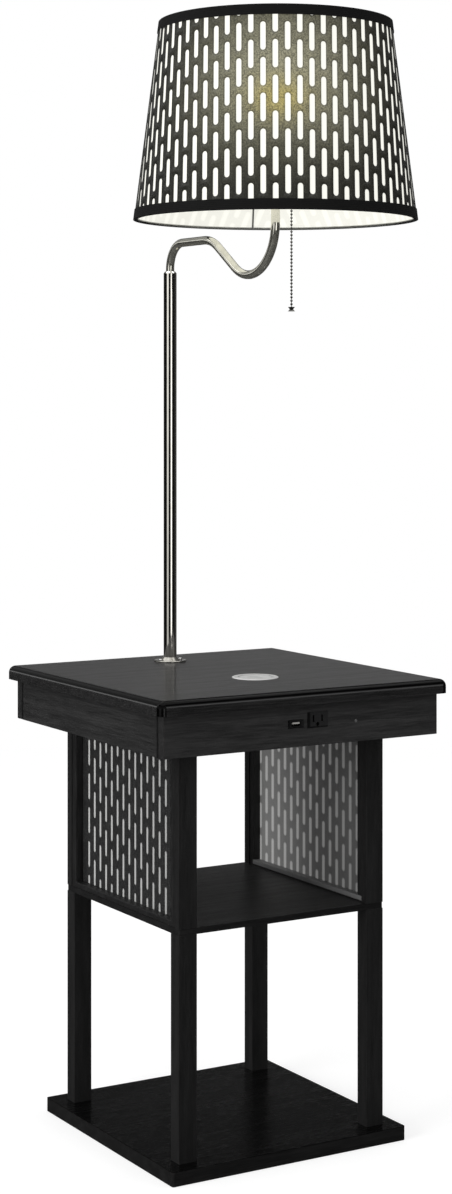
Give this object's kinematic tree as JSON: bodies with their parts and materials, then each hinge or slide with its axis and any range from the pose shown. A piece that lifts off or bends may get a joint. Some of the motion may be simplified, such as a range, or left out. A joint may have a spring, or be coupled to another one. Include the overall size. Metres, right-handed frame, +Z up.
{
  "type": "floor lamp with table",
  "caption": "Floor lamp rising from a small square table with a shelf, slotted side panels, sockets and a charging pad; a bent swivel arm carries a tapered slotted shade.",
  "frame": {"origin": "middle of the base board's underside, on the floor", "axes": "+Z up, front with the sockets facing -Y, pole at the rear on +Y"},
  "size_m": [0.425, 0.525, 1.4339],
  "materials": {
    "laminate": "black wood-grain laminate, satin",
    "laminate_top": "black wood-grain laminate, semi-gloss",
    "panel_black": "matte black slotted sheet",
    "liner_white": "translucent white plastic sheet",
    "shade_black": "black slotted cover",
    "trim_black": "black tape",
    "nickel": "satin nickel plate",
    "steel": "bright zinc plate",
    "brass": "plain brass",
    "copper": "enamelled winding",
    "port_black": "black moulded plastic",
    "port_white": "white moulded plastic",
    "pad_silver": "silver paint",
    "circuit_green": "circuit board",
    "bulb_white": "frosted white"
  },
  "bodies": {
    "table": {"base_board": "laminate", "leg_front_left": "laminate", "leg_front_right": "laminate", "leg_rear_left": "laminate", "leg_rear_right": "laminate", "base_screws": "steel", "shelf_board": "laminate", "leg_studs": "steel", "post_front_left": "laminate", "post_front_right": "laminate", "post_rear_left": "laminate", "post_rear_right": "laminate", "post_studs": "steel", "floor_inserts": "steel", "panel_frame_left": "laminate", "panel_frame_right": "laminate", "panel_sheet_left": "panel_black", "panel_sheet_right": "panel_black", "panel_liner_left": "liner_white", "panel_liner_right": "liner_white", "apron_front": "laminate", "apron_rear": "laminate", "apron_left": "laminate", "apron_right": "laminate", "box_floor": "laminate", "glue_blocks": "laminate", "table_top": "laminate_top", "charger_rim": "pad_silver", "charger_disc": "port_white", "charger_case": "port_black", "charger_coil": "copper", "usb_module": "port_black", "usb_tongue": "port_white", "outlet_body": "port_black", "outlet_contacts": "brass", "power_board": "circuit_green", "indicator_led": "port_white", "cord_gland": "port_black", "pole_flange": "nickel", "flange_screws": "steel", "pole_nipple": "steel", "nipple_nut": "steel", "pole_tube": "nickel", "pole_cap": "nickel"},
    "arm": {"arm_tube": "nickel", "arm_ring": "steel", "socket_cup": "nickel", "socket_body": "port_white", "socket_ring": "port_white", "bulb_base": "brass", "bulb_globe": "bulb_white", "shade_spider": "steel", "shade_bottom_ring": "steel", "shade_top_ring": "steel", "shade_liner": "liner_white", "shade_cover": "shade_black", "trim_bottom": "trim_black", "trim_top": "trim_black"},
    "chain": {"pull_chain": "steel", "chain_bell": "steel"}
  },
  "joints": [
    {"name": "arm_swivel", "type": "hinge", "parent": "table", "child": "arm", "pos_m": [0, 0.14, 1.13], "axis": [0, 0, 1], "range_deg": [-160, 160]},
    {"name": "chain_pull", "type": "slide", "parent": "arm", "child": "chain", "axis": [0, 0, -1], "range_m": [0, 0.008], "stiffness_N_per_m": 400, "springref_m": -0.003}
  ]
}
